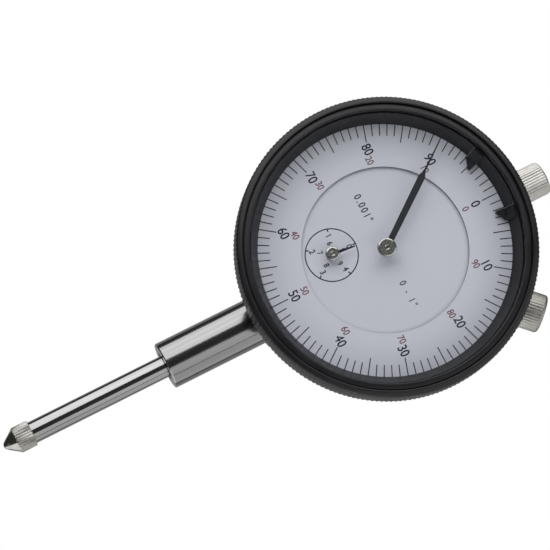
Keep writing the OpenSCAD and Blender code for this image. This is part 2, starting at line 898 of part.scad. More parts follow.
module guide_pin() {
  color("silver")
  translate([-spindle_radius + 0.5, 0, dial_height - pin_drop])
    rotate([0, 90, 0])
      cylinder(r = pin_radius, h = pin_reach + spindle_radius - 0.5, $fn = 48);
}

// ---- rack arbor group ----

module rack_arbor() {
  place = [-arbor_offset, -arbor_drop];
  color("silver") {
    bar(place, arbor_radius, small_hub_front + 0.2, cock_rear);
    slab(-1.3, 1.3)
      translate(place)
        gear_outline(rack_pinion_teeth, rack_module, 3);
  }
}

module large_gear(place, phase) {
  difference() {
    slab(gear_front, gear_rear)
      translate(place)
        rotate(phase)
          gear_outline(gear_teeth, gear_module, 1);
    bar(place, arbor_radius, gear_front - 1, gear_rear + 1);
    for (angle = [0 : 90 : 270])
      bar(
        place + on_circle(lightening_circle, angle + 45),
        lightening_radius,
        gear_front - 1,
        gear_rear + 1
      );
  }
}

module rack_gear() {
  color("gold")
  large_gear([-arbor_offset, -arbor_drop], mesh_angle + 180 + 180 / gear_teeth);
}

module small_hub() {
  place = [-arbor_offset, -arbor_drop];
  color("silver")
  difference() {
    union() {
      bar(place, small_hub_radius, small_hub_front, small_hub_rear);
      bar(place, 0.85, small_hub_rear - 0.1, small_hub_rear + 0.9);
    }
    bar(place, arbor_radius, small_hub_front - 1, small_hub_rear + 2);
  }
}

module small_hand() {
  place = [-arbor_offset, -arbor_drop];
  color("black")
  slab(small_hub_rear, small_hub_rear + hand_thickness)
    translate(place)
      rotate(-small_hand_turn)
        difference() {
          polygon([
            [-1.2, -0.3],
            [-1.2, 0.3],
            [-0.32, 1.2],
            [-0.12, small_hand_reach],
            [0.12, small_hand_reach],
            [0.32, 1.2],
            [1.2, 0.3],
            [1.2, -0.3],
            [0.5, -1.2],
            [-0.5, -1.2]
          ]);
          circle(r = 0.85, $fn = 48);
        }
}

// ---- centre arbor group ----

module centre_arbor() {
  color("silver") {
    bar([0, 0], arbor_radius, hub_front + 0.35, rear_plate_rear - 0.05);
    slab(-6.2, -4.3)
      rotate(mesh_angle)
        gear_outline(pinion_teeth, gear_module, 3);
  }
}

module main_hand() {
  color("black")
  slab(hub_rear + 0.03, hub_rear + 0.03 + hand_thickness)
    rotate(main_hand_turn)
      difference() {
        polygon([
          [-blade_root_half_width, -1.5],
          [-1.4, -0.5],
          [-1.4, 0.5],
          [-blade_root_half_width, 1.5],
          [-blade_half_width, blade_reach],
          [-needle_half_width, blade_reach + 1.2],
          [-needle_tip_half_width, hand_reach],
          [needle_tip_half_width, hand_reach],
          [needle_half_width, blade_reach + 1.2],
          [blade_half_width, blade_reach],
          [blade_root_half_width, 1.5],
          [1.4, 0.5],
          [1.4, -0.5],
          [blade_root_half_width, -1.5]
        ]);
        circle(r = 0.95, $fn = 48);
      }
}

module main_hub() {
  color("silver")
  difference() {
    union() {
      bar([0, 0], main_hub_radius, hub_front, hub_rear);
      bar([0, 0], 0.95, hub_rear - 0.1, hub_rear + 1.2);
    }
    bar([0, 0], arbor_radius, hub_front - 1, hub_rear + 2);
  }
}

// ---- take up group ----

module take_up_arbor() {
  color("silver")
  bar([arbor_offset, arbor_drop], arbor_radius, front_plate_front, rear_plate_rear - 0.05);
}

module take_up_gear() {
  color("gold")
  large_gear([arbor_offset, arbor_drop], mesh_angle + 180 / gear_teeth);
}

module hairspring_collet() {
  place = [arbor_offset, arbor_drop];
  color("gold")
  difference() {
    bar(place, 1.3, -7, -6.2);
    bar(place, arbor_radius, -8, -5);
  }
}

// ---- clamp group ----

module clamp_screw() {
  color("silver")
  radial(clamp_angle, clamp_setback) {
    translate([0, 0, clamp_shank_base])
      cylinder(r = clamp_shank_radius, h = clamp_knob_base + 0.5 - clamp_shank_base, $fn = 48);
    rotate_extrude()
      polygon([
        [0, clamp_knob_base],
        [clamp_knob_diameter / 2 - 0.2, clamp_knob_base],
        [clamp_knob_diameter / 2, clamp_knob_base + 0.2],
        [clamp_knob_diameter / 2, clamp_outer_radius - knob_chamfer - 0.15],
        [clamp_knob_diameter / 2 - knob_chamfer, clamp_outer_radius - 0.15],
        [0, clamp_outer_radius]
      ]);
  }
}

module clamp_pad() {
  front = -8.8;
  color("dimgray")
  difference() {
    radial(clamp_angle, 0)
      translate([-clamp_pad_width / 2, front, skirt_radius + 0.05])
        cube([clamp_pad_width, 4.2 - front, clamp_knob_base - skirt_radius - 0.1]);
    radial(clamp_angle, clamp_setback)
      translate([0, 0, 27])
        cylinder(r = clamp_shank_radius + clamp_clearance, h = 6);
  }
}

case();
back_cover();
back_screws();
stem();
lower_bushing();
upper_bushing();
front_plate();
movement_screws();
rear_plate();
bridge_pillars();
bridge_screws();
front_bushes();
rear_bushes();
rear_cock();
cock_pillars();
cock_screws();
spindle_guide();
guide_screws();
return_spring();
spring_post();
hairspring();
hairspring_stud();
fixed_dial();
dial_spacer();
snap_ring();
bezel_ring();
crystal();
dial_ring();
limit_hand_left();
limit_hand_right();
spindle();
contact_point();
contact_ball();
lifting_knob();
guide_pin();
rack_arbor();
rack_gear();
small_hub();
small_hand();
centre_arbor();
main_hand();
main_hub();
take_up_arbor();
take_up_gear();
hairspring_collet();
clamp_screw();
clamp_pad();
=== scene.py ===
import json
import math

import bmesh
import bpy
from mathutils import Matrix, Vector


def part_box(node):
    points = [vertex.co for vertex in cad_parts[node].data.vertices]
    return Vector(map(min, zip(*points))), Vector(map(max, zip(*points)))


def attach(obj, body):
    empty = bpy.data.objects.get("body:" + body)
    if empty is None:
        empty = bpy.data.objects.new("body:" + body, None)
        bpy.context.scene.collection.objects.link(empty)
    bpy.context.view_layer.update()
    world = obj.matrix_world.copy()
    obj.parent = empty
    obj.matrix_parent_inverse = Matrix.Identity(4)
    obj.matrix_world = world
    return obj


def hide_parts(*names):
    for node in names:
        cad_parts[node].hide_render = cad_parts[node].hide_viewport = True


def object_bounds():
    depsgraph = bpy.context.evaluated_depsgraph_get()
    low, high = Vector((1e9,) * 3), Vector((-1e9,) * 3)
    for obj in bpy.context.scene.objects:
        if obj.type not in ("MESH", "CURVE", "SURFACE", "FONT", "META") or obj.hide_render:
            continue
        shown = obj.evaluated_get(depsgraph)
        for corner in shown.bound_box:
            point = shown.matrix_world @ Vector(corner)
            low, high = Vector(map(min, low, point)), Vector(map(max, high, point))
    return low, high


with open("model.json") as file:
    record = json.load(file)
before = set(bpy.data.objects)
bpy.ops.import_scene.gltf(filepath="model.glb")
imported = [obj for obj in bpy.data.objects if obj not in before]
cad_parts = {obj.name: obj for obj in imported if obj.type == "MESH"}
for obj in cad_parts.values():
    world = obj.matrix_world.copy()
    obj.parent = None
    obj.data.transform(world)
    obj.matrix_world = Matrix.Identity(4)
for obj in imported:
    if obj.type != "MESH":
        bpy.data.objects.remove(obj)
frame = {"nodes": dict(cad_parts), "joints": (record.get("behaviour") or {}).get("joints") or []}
cad_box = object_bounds()

# ---------------------------------------------------------------- places from the frame

MM = 0.001
JOINTS = {joint["name"]: joint for joint in frame["joints"]}
RING_LOW, RING_HIGH = (Vector(corner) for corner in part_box("dial_ring"))
BEZEL_LOW, BEZEL_HIGH = (Vector(corner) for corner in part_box("bezel_ring"))
CRYSTAL_LOW, CRYSTAL_HIGH = (Vector(corner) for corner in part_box("crystal"))
DIAL_Y = RING_LOW.y
FIXED_Y = Vector(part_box("fixed_dial")[0]).y
CENTRE = Vector((0, DIAL_Y, (RING_LOW.z + RING_HIGH.z) / 2))
SMALL = Vector(JOINTS["rack_turn"]["pos_m"])
SMALL_CENTRE = Vector((SMALL.x, FIXED_Y, SMALL.z))

# sizes that the CAD gives the dial and the bezel's inside
RING_BORE = 16.5 * MM
DIAL_RADIUS = 25 * MM
LIP_RADIUS = 28.1 * MM

# the printed zero stands a little anticlockwise of straight up
ZERO_TURN = math.radians(-0.4)


# ---------------------------------------------------------------- materials

class Shader:
    """A node material with a principled shader and short helpers to build on it."""

    def __init__(self, name, color, roughness, metallic=0.0, **sockets):
        self.material = bpy.data.materials.new(name)
        self.material.use_nodes = True
        self.nodes = self.material.node_tree.nodes
        self.links = self.material.node_tree.links
        self.principled = self.nodes["Principled BSDF"]
        self.set("Base Color", (*color, 1))
        self.set("Roughness", roughness)
        self.set("Metallic", metallic)
        for socket, value in sockets.items():
            self.set(socket.replace("_", " "), value)

    def set(self, socket, value):
        self.principled.inputs[socket].default_value = value

    def place(self, scale=(1, 1, 1)):
        where = self.nodes.new("ShaderNodeTexCoord")
        stretch = self.nodes.new("ShaderNodeMapping")
        stretch.inputs["Scale"].default_value = scale
        self.links.new(where.outputs["Object"], stretch.inputs["Vector"])
        return stretch.outputs["Vector"]

    def noise(self, scale, detail, stretch=(1, 1, 1)):
        """Noise with about scale spots a metre; a low stretch draws it out along that axis."""
        texture = self.nodes.new("ShaderNodeTexNoise")
        texture.inputs["Scale"].default_value = scale
        texture.inputs["Detail"].default_value = detail
        self.links.new(self.place(stretch), texture.inputs["Vector"])
        return texture.outputs["Fac"]

    def spread(self, value, low, high, start=0.3, end=0.7):
        """Value between start and end, mapped to low and high."""
        span = self.nodes.new("ShaderNodeMapRange")
        span.inputs["From Min"].default_value = start
        span.inputs["From Max"].default_value = end
        span.inputs["To Min"].default_value = low
        span.inputs["To Max"].default_value = high
        self.links.new(value, span.inputs["Value"])
        return span.outputs["Result"]

    def vary_roughness(self, value, low, high):
        self.links.new(self.spread(value, low, high), self.principled.inputs["Roughness"])

    def distance_from(self, point):
        reach = self.nodes.new("ShaderNodeVectorMath")
        reach.operation = "DISTANCE"
        reach.inputs[1].default_value = point
        self.links.new(self.place(), reach.inputs[0])
        return reach.outputs["Value"]

    def vary_color(self, value, dark, light, start=0.3, end=0.7):
        mix = self.nodes.new("ShaderNodeMix")
        mix.data_type = "RGBA"
        mix.inputs["A"].default_value = (*dark, 1)
        mix.inputs["B"].default_value = (*light, 1)
        self.links.new(self.spread(value, 0, 1, start, end), mix.inputs["Factor"])
        self.links.new(mix.outputs["Result"], self.principled.inputs["Base Color"])

    def bump(self, value, distance, strength):
        bump = self.nodes.new("ShaderNodeBump")
        bump.inputs["Distance"].default_value = distance
        bump.inputs["Strength"].default_value = strength
        self.links.new(value, bump.inputs["Height"])
        self.links.new(bump.outputs["Normal"], self.principled.inputs["Normal"])


def black_enamel():
    """Satin black paint."""
    shader = Shader("black_enamel", (0.011, 0.011, 0.013), 0.38)
    fine = shader.noise(9000, 4)
    broad = shader.noise(180, 3)
    shader.vary_roughness(broad, 0.34, 0.46)
    shader.vary_color(broad, (0.009, 0.009, 0.011), (0.013, 0.013, 0.016))
    shader.bump(fine, 0.008 * MM, 0.5)
    return shader.material


def ground_steel(name, color, low, high, stretch):
    """Ground or polished steel with fine scratches; low and high are its roughness."""
    shader = Shader(name, color, (low + high) / 2, 1.0)
    scratches = shader.noise(9000, 4, stretch)
    streaks = shader.noise(1400, 3, stretch)
    shader.vary_roughness(scratches, low, high)
    shader.vary_color(streaks, tuple(0.8 * c for c in color), color)
    shader.bump(scratches, 0.002 * MM, 0.35)
    return shader.material


def satin_chrome(name, stretch):
    """Satin chrome plate with a grain drawn out by stretch."""
    shader = Shader(name, (0.60, 0.60, 0.59), 0.3, 1.0)
    grain = shader.noise(8000, 4, stretch)
    shader.vary_roughness(grain, 0.26, 0.36)
    shader.vary_color(shader.noise(60, 2), (0.56, 0.56, 0.55), (0.63, 0.63, 0.62))
    shader.bump(grain, 0.002 * MM, 0.3)
    return shader.material


def knurled_nickel(name, color):
    """Dull nickel plate, a little darker in patches."""
    shader = Shader(name, color, 0.32, 1.0)
    grain = shader.noise(4000, 3)
    shader.vary_roughness(grain, 0.36, 0.5)
    shader.vary_color(shader.noise(900, 2), tuple(0.88 * c for c in color), color)
    return shader.material


def turned_brass(name, color):
    """Satin brass or bronze."""
    shader = Shader(name, color, 0.3, 1.0)
    grain = shader.noise(2500, 3)
    shader.vary_roughness(grain, 0.24, 0.4)
    shader.vary_color(shader.noise(300, 3), tuple(0.82 * c for c in color), color)
    return shader.material


def dial_paint(name, color):
    """Matt paint with painted shade: it darkens a little towards the dial's edge, where the bezel's
    wall shades it.
    """
    shade_start = 18 * MM
    shade_end = 24.5 * MM
    # painted shade: near the edge the paint is mixed toward this darker colour, standing in for the
    # bezel wall's shadow
    wall_shade_color = tuple(0.87 * c for c in color)
    shader = Shader(name, color, 0.55, Specular_IOR_Level=0.2)
    inward = shader.spread(shader.distance_from(CENTRE), 1, 0, shade_start, shade_end)
    shader.vary_color(inward, wall_shade_color, color, 0, 1)
    shader.vary_roughness(shader.noise(3500, 3), 0.5, 0.62)
    shader.bump(shader.noise(7000, 2), 0.003 * MM, 0.3)
    return shader.material


def ink(name, color):
    """Matt printing ink, also used for bare dark metal and for painted shade."""
    shader = Shader(name, color, 0.6, Specular_IOR_Level=0.2)
    shader.vary_roughness(shader.noise(5000, 2), 0.5, 0.7)
    return shader.material


def matt_black(name, color, low, high):
    """Black finish of the hands and the pad; low and high are its roughness."""
    shader = Shader(name, color, (low + high) / 2)
    shader.vary_roughness(shader.noise(7000, 3), low, high)
    shader.vary_color(shader.noise(3000, 2), color, tuple(1.2 * c for c in color))
    return shader.material


def clear_acrylic():
    """Almost invisible glaze that keeps only the reflections."""
    shader = Shader("clear_acrylic", (0.02, 0.02, 0.02), 0.02, Alpha=0.015)
    shader.material.surface_render_method = "BLENDED"
    shader.vary_roughness(shader.noise(40, 2), 0.015, 0.03)
    return shader.material


EVEN = (1, 1, 1)
LENGTHWISE = (1, 1, 0.02)

ENAMEL = black_enamel()
CHROME = satin_chrome("satin_chrome", (1, 0.03, 1))
COVER_CHROME = satin_chrome("cover_chrome", (0.05, 1, 1))
STEEL = ground_steel("ground_steel", (0.37, 0.37, 0.37), 0.12, 0.19, LENGTHWISE)
ROD_STEEL = ground_steel("polished_rod", (0.44, 0.44, 0.44), 0.08, 0.13, LENGTHWISE)
PLAIN_STEEL = ground_steel("turned_steel", (0.56, 0.56, 0.56), 0.25, 0.38, EVEN)
SCREW_STEEL = ground_steel("screw_steel", (0.30, 0.30, 0.31), 0.2, 0.3, EVEN)
NICKEL = knurled_nickel("knurled_nickel", (0.66, 0.65, 0.61))
CLAMP_NICKEL = knurled_nickel("clamp_nickel", (0.44, 0.43, 0.395))
POINT_NICKEL = knurled_nickel("point_nickel", (0.50, 0.49, 0.45))
NOSE_STEEL = ground_steel("nose_steel", (0.46, 0.46, 0.43), 0.10, 0.16, (1, 1, 0.1))
HUB_NICKEL = ground_steel("hub_nickel", (0.60, 0.61, 0.57), 0.22, 0.3, EVEN)
BRASS = turned_brass("plate_brass", (0.72, 0.55, 0.28))
BRONZE = turned_brass("bush_bronze", (0.62, 0.42, 0.22))
GEAR_BRASS = turned_brass("gear_brass", (0.80, 0.62, 0.30))
BLUE_STEEL = ground_steel("blue_steel", (0.08, 0.12, 0.34), 0.2, 0.3, EVEN)
DIAL_WHITE = dial_paint("dial_white", (0.785, 0.81, 0.905))
INK_BLACK = ink("ink_black", (0.030, 0.032, 0.040))
INK_RED = ink("ink_red", (0.20, 0.062, 0.060))
# dark grey: the ring bore's bare edge deepened as painted shade, and painted shade in the hubs'
# dimples and on their sides
UNPAINTED_EDGE_AND_SHADE = ink("unpainted_edge_and_shade", (0.09, 0.09, 0.10))
HAND_BLACK = matt_black("hand_black", (0.017, 0.020, 0.028), 0.4, 0.5)
LIMIT_BLACK = matt_black("limit_black", (0.007, 0.008, 0.010), 0.34, 0.4)
# lighter steel that paints a highlight on the limit clips' first ends
HIGHLIGHT_STEEL = ground_steel("painted_highlight_steel", (0.3, 0.31, 0.31), 0.3, 0.4, EVEN)
PAD_BLACK = matt_black("pad_black", (0.03, 0.03, 0.032), 0.35, 0.5)
CRYSTAL = clear_acrylic()

NODE_MATERIALS = {
    "case": CHROME,
    "back_cover": COVER_CHROME,
    "back_screws": SCREW_STEEL,
    "stem": STEEL,
    "lower_bushing": STEEL,
    "upper_bushing": CHROME,
    "front_plate": BRASS,
    "movement_screws": PLAIN_STEEL,
    "rear_plate": BRASS,
    "bridge_pillars": BRASS,
    "bridge_screws": PLAIN_STEEL,
    "front_bushes": BRONZE,
    "rear_bushes": BRONZE,
    "rear_cock": BRASS,
    "cock_pillars": BRASS,
    "cock_screws": PLAIN_STEEL,
    "spindle_guide": PLAIN_STEEL,
    "guide_screws": PLAIN_STEEL,
    "return_spring": PLAIN_STEEL,
    "spring_post": PLAIN_STEEL,
    "hairspring": BLUE_STEEL,
    "hairspring_stud": BRASS,
    "fixed_dial": DIAL_WHITE,
    "dial_spacer": BRASS,
    "snap_ring": PLAIN_STEEL,
    "bezel_ring": ENAMEL,
    "crystal": CRYSTAL,
    "dial_ring": DIAL_WHITE,
    "limit_hand_left": LIMIT_BLACK,
    "limit_hand_right": LIMIT_BLACK,
    "spindle": ROD_STEEL,
    "contact_point": POINT_NICKEL,
    "contact_ball": ROD_STEEL,
    "lifting_knob": NICKEL,
    "guide_pin": PLAIN_STEEL,
    "rack_arbor": PLAIN_STEEL,
    "rack_gear": GEAR_BRASS,
    "small_hub": HUB_NICKEL,
    "small_hand": HAND_BLACK,
    "centre_arbor": PLAIN_STEEL,
    "main_hand": HAND_BLACK,
    "main_hub": HUB_NICKEL,
    "take_up_arbor": PLAIN_STEEL,
    "take_up_gear": GEAR_BRASS,
    "hairspring_collet": BRONZE,
    "clamp_screw": CLAMP_NICKEL,
    "clamp_pad": PAD_BLACK,
}


# ---------------------------------------------------------------- mesh helpers

def add_piece(name, mesh, material, body):
    """An object in the scene that rides on a body and takes the finish it is given."""
    mesh.materials.append(material)
    piece = bpy.data.objects.new(name, mesh)
    bpy.context.scene.collection.objects.link(piece)
    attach(piece, body)
    return piece


def smooth(mesh, angle=35.0):
    """Smooth shading with sharp edges where faces meet at more than the angle."""
    mesh.shade_smooth()
    mesh.set_sharp_from_angle(angle=math.radians(angle))


for node_name, material in NODE_MATERIALS.items():
    node_mesh = frame["nodes"][node_name].data
    node_mesh.materials.clear()
    node_mesh.materials.append(material)
    smooth(node_mesh)


def arc(centre, radius, start, end, steps):
    """Points of an arc in the profile plane, angles in degrees."""
    turns = [math.radians(start + (end - start) * i / steps) for i in range(steps + 1)]
    return [(centre[0] + radius * math.cos(t), centre[1] + radius * math.sin(t)) for t in turns]


def mesh_from(built, name):
    """Mesh with the faces of a bmesh turned outward."""
    bmesh.ops.recalc_face_normals(built, faces=built.faces)
    mesh = bpy.data.meshes.new(name)
    built.to_mesh(mesh)
    built.free()
    return mesh


def lathe(profile, segments, place, radius_at=None):
    """Turn a closed (radius, length) profile about local Z; place puts it in the frame."""
    built = bmesh.new()
    rings = []
    for index, (radius, length) in enumerate(profile):
        if radius == 0:
            rings.append([built.verts.new(place @ Vector((0, 0, length)))])
            continue
        ring = []
        for step in range(segments):
            turn = 2 * math.pi * step / segments
            reach = radius_at(index, radius, step) if radius_at else radius
            spot = Vector((reach * math.cos(turn), reach * math.sin(turn), length))
            ring.append(built.verts.new(place @ spot))
        rings.append(ring)
    for lower, upper in zip(rings, rings[1:] + rings[:1]):
        if len(lower) == 1 and len(upper) == 1:
            continue
        for step in range(segments):
            after = (step + 1) % segments
            corners = [lower[step % len(lower)], lower[after % len(lower)]]
            corners += [upper[after % len(upper)], upper[step % len(upper)]]
            face = list(dict.fromkeys(corners))
            if len(face) > 2:
                built.faces.new(face)
    return mesh_from(built, "lathe")


def facing_dial(centre):
    """Matrix that puts local +Z forward out of the dial (-Y), local X to the right."""
    return Matrix.Translation(centre) @ Matrix.Rotation(math.radians(90), 4, "X")


def along(origin, axis):
    """Matrix that puts local +Z along an axis from an origin."""
    return Matrix.Translation(origin) @ axis.to_track_quat("Z", "Y").to_matrix().to_4x4()


def clock(centre, radius, angle, y):
    """Point at a clockwise angle from straight up, seen from the front."""
    return Vector((centre.x + radius * math.sin(angle), y, centre.z + radius * math.cos(angle)))


def join_meshes(meshes):
    """One mesh from several."""
    built = bmesh.new()
    for part in meshes:
        built.from_mesh(part)
        bpy.data.meshes.remove(part)
    mesh = bpy.data.meshes.new("joined")
    built.to_mesh(mesh)
    built.free()
    return mesh


# ---------------------------------------------------------------- dial print

PRINT_HEIGHT = 0.012 * MM
PRINT_GAP = 0.002 * MM
DIGIT_WIDTH = 0.82


def printed_outline(points, y):
    """A closed outline laid on a plate as a very thin raised print."""
    built = bmesh.new()
    front = [built.verts.new((p.x, y - PRINT_GAP - PRINT_HEIGHT, p.z)) for p in points]
    back = [built.verts.new((p.x, y - PRINT_GAP, p.z)) for p in points]
    built.faces.new(front)
    built.faces.new(list(reversed(back)))
    for index in range(len(points)):
        after = (index + 1) % len(points)
        built.faces.new((front[index], back[index], back[after], front[after]))
    return mesh_from(built, "print")


def tick(centre, angle, inner, outer, width, y):
    """A printed line from an inner to an outer radius."""
    side = Vector((math.cos(angle), 0, -math.sin(angle))) * width / 2
    low = clock(centre, inner, angle, y)
    high = clock(centre, outer, angle, y)
    return printed_outline([low - side, high - side, high + side, low + side], y)


def printed_ring(centre, radius, width, y):
    """A printed circle."""
    inner, outer = radius - width / 2, radius + width / 2
    top = PRINT_GAP + PRINT_HEIGHT
    profile = [(inner, PRINT_GAP), (outer, PRINT_GAP), (outer, top), (inner, top)]
    return lathe(profile, 160, facing_dial(Vector((centre.x, y, centre.z))))


def thicken(built, distance):
    """Move the outline of a raised print outward, in the dial's plane."""
    moves = {}
    for vert in built.verts:
        outward = Vector((0, 0, 0))
        for face in vert.link_faces:
            if abs(face.normal.y) < 0.5:
                outward += Vector((face.normal.x, 0, face.normal.z))
        if outward.length > 0:
            moves[vert] = outward.normalized() * distance
    for vert, move in moves.items():
        vert.co += move


def numeral(words, height, centre, y, weight, spacing=1.0):
    """Upright narrow digits whose middle is at centre; weight thickens their strokes."""
    curve = bpy.data.curves.new("numeral", "FONT")
    curve.body = words
    curve.size = 1.0
    curve.space_character = spacing
    curve.resolution_u = 6
    writer = bpy.data.objects.new("numeral", curve)
    bpy.context.scene.collection.objects.link(writer)
    bpy.context.view_layer.update()
    written = writer.evaluated_get(bpy.context.evaluated_depsgraph_get())
    shape = bpy.data.meshes.new_from_object(written)
    bpy.data.objects.remove(writer)
    bpy.data.curves.remove(curve)
    xs = [v.co.x for v in shape.vertices]
    ys = [v.co.y for v in shape.vertices]
    scale = height / (max(ys) - min(ys))
    middle = Vector(((max(xs) + min(xs)) / 2, (max(ys) + min(ys)) / 2, 0))
    built = bmesh.new()
    built.from_mesh(shape)
    bpy.data.meshes.remove(shape)
    made = bmesh.ops.extrude_face_region(built, geom=list(built.faces))
    moved = [v for v in made["geom"] if isinstance(v, bmesh.types.BMVert)]
    bmesh.ops.translate(built, verts=moved, vec=(0, 0, PRINT_HEIGHT / scale))
    spot = Vector((centre.x, y - PRINT_GAP, centre.z))
    narrow = Matrix.Diagonal((DIGIT_WIDTH * scale, scale, scale, 1))
    place = facing_dial(spot) @ narrow @ Matrix.Translation(-middle)
    built.transform(place)
    bmesh.ops.recalc_face_normals(built, faces=built.faces)
    thicken(built, weight * scale)
    return mesh_from(built, "numeral")


def outer_scale():
    """A hundred ticks, the black numerals and the inner reversed numerals, on the turning ring."""
    tick_outer = 25.2 * MM
    short_inner = 22.7 * MM
    long_inner = 21.55 * MM
    tick_width = 0.2 * MM
    black_radius, black_height, black_weight = 20.15 * MM, 1.9 * MM, 0.012
    red_radius, red_height, red_weight = 17.9 * MM, 1.4 * MM, 0.008
    ticks = []
    for mark in range(100):
        angle = ZERO_TURN + math.radians(3.6 * mark)
        inner = long_inner if mark % 5 == 0 else short_inner
        ticks.append(tick(CENTRE, angle, inner, tick_outer, tick_width, DIAL_Y))
    add_piece("ring_ticks", join_meshes(ticks), INK_BLACK, "bezel")
    black = []
    red = []
    for ten in range(10):
        angle = ZERO_TURN + math.radians(36 * ten)
        forward = str(10 * ten)
        reversed_count = str(10 * ((10 - ten) % 10))
        black_spot = clock(CENTRE, black_radius, angle, DIAL_Y)
        red_spot = clock(CENTRE, red_radius, angle, DIAL_Y)
        black.append(numeral(forward, black_height, black_spot, DIAL_Y, black_weight))
        red.append(numeral(reversed_count, red_height, red_spot, DIAL_Y, red_weight))
    # a dark band over the ring's bore: its bare edge, made darker as painted shade on the step down
    # to the fixed dial
    band_inner = RING_BORE - 0.03 * MM
    band_top = -0.02 * MM
    band_foot = DIAL_Y - FIXED_Y + 0.05 * MM
    band = [(band_inner, band_foot), (RING_BORE, band_foot)]
    band += [(RING_BORE, band_top), (band_inner, band_top)]
    band_mesh = lathe(band, 180, facing_dial(CENTRE))
    add_piece("ring_edge_and_painted_shade", band_mesh, UNPAINTED_EDGE_AND_SHADE, "bezel")
    add_piece("ring_numerals", join_meshes(black), INK_BLACK, "bezel")
    add_piece("ring_reverse_numerals", join_meshes(red), INK_RED, "bezel")


def inner_scale():
    """The revolution counter's circle, ticks and two rows of digits, and the range marks."""
    circle_radius = 5.2 * MM
    circle_width = 0.22 * MM
    tick_inner = circle_radius - 0.6 * MM
    tick_width = 0.26 * MM
    outer_row, outer_height = 3.85 * MM, 1.2 * MM
    inner_row, inner_height = 2.3 * MM, 1.1 * MM
    digit_weight = 0.02
    marks = [printed_ring(SMALL_CENTRE, circle_radius, circle_width, FIXED_Y)]
    for step in range(5):
        angle = math.radians(-72 * step)
        marks.append(tick(SMALL_CENTRE, angle, tick_inner, circle_radius, tick_width, FIXED_Y))
        outer_spot = clock(SMALL_CENTRE, outer_row, angle, FIXED_Y)
        inner_spot = clock(SMALL_CENTRE, inner_row, angle, FIXED_Y)
        marks.append(numeral(str(step), outer_height, outer_spot, FIXED_Y, digit_weight))
        marks.append(numeral(str(step + 5), inner_height, inner_spot, FIXED_Y, digit_weight))
    left = Vector((CENTRE.x - 9.3 * MM, FIXED_Y, CENTRE.z + 0.07 * MM))
    right = Vector((CENTRE.x + 9.65 * MM, FIXED_Y, CENTRE.z + 0.1 * MM))
    marks.append(numeral('0.001"', 1.5 * MM, left, FIXED_Y, weight=0.012, spacing=1.35))
    marks.append(numeral('0 - 1"', 1.4 * MM, right, FIXED_Y, weight=0.008, spacing=1.5))
    add_piece("fixed_dial_print", join_meshes(marks), INK_BLACK, "case")


outer_scale()
inner_scale()


# ---------------------------------------------------------------- knurled and turned pieces

TOOTH_WAVE = (0.0, 0.55, 1.0, 0.55)


def knurled_lathe(profile, knurled, teeth, depth, place):
    """Lathe whose points named in knurled are cut with straight teeth of a depth."""

    def radius_at(index, radius, step):
        if index not in knurled:
            return radius
        return radius - depth * TOOTH_WAVE[step % len(TOOTH_WAVE)]

    return lathe(profile, teeth * len(TOOTH_WAVE), place, radius_at)


def bezel():
    """Bezel: sloping inner wall, low lip round the crystal, groove, and a knurled rim."""
    front = DIAL_Y - BEZEL_LOW.y
    rear = DIAL_Y - BEZEL_HIGH.y
    rim = (BEZEL_HIGH.x - BEZEL_LOW.x) / 2
    seat = DIAL_Y - CRYSTAL_HIGH.y
    seat_radius = (CRYSTAL_HIGH.x - CRYSTAL_LOW.x) / 2
    ring = (RING_HIGH.x - RING_LOW.x) / 2
    ring_rear = DIAL_Y - RING_HIGH.y
    wall_top = 26.55 * MM
    groove = LIP_RADIUS + 0.15 * MM
    rim_rear = -2.2 * MM
    skirt = 28.75 * MM
    skirt_bore = 28.1 * MM
    bore = 26.56 * MM
    web_rear = -1.6 * MM
    snap_radius = 27.0 * MM
    snap_rear = -1.33 * MM
    snap_front = -0.77 * MM
    lip_crest = seat + 1.5 * MM
    groove_floor = seat + 0.85 * MM
    inner_round = 0.2 * MM
    lip_round = 0.18 * MM
    rear_round = 0.3 * MM
    skirt_ease = 0.15 * MM
    teeth = 200
    profile = [(DIAL_RADIUS, 0.0), (wall_top, seat), (seat_radius, seat)]
    profile += arc((seat_radius + inner_round, lip_crest - inner_round), inner_round, 180, 80, 4)
    profile += arc((LIP_RADIUS - lip_round, lip_crest - 0.19 * MM - lip_round), lip_round, 75, 0, 4)
    profile += [(LIP_RADIUS, groove_floor), (groove, groove_floor)]
    profile += arc((groove + inner_round, front - inner_round), inner_round, 180, 80, 4)
    profile += [(rim - 0.45 * MM, front - 0.32 * MM), (rim - 0.2 * MM, front - 0.5 * MM)]
    first = len(profile)
    profile += [(rim - 0.08 * MM, front - 0.66 * MM), (rim, front - 0.95 * MM)]
    profile += arc((rim - rear_round, rim_rear + rear_round), rear_round, 0, -70, 3)
    last = len(profile)
    profile += [(skirt + 0.2 * MM, rim_rear), (skirt, rim_rear - skirt_ease)]
    profile += [(skirt, rear + skirt_ease), (skirt - skirt_ease, rear)]
    profile += [(skirt_bore, rear), (skirt_bore, web_rear), (bore, web_rear)]
    profile += [(bore, snap_rear), (snap_radius, snap_rear), (snap_radius, snap_front)]
    profile += [(bore, snap_front), (bore, ring_rear), (ring, ring_rear), (ring, 0.0)]
    mesh = knurled_lathe(profile, range(first, last), teeth, 0.15 * MM, facing_dial(CENTRE))
    smooth(mesh, 40)
    piece = add_piece("bezel_shell", mesh, ENAMEL, "bezel")
    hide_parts("bezel_ring")


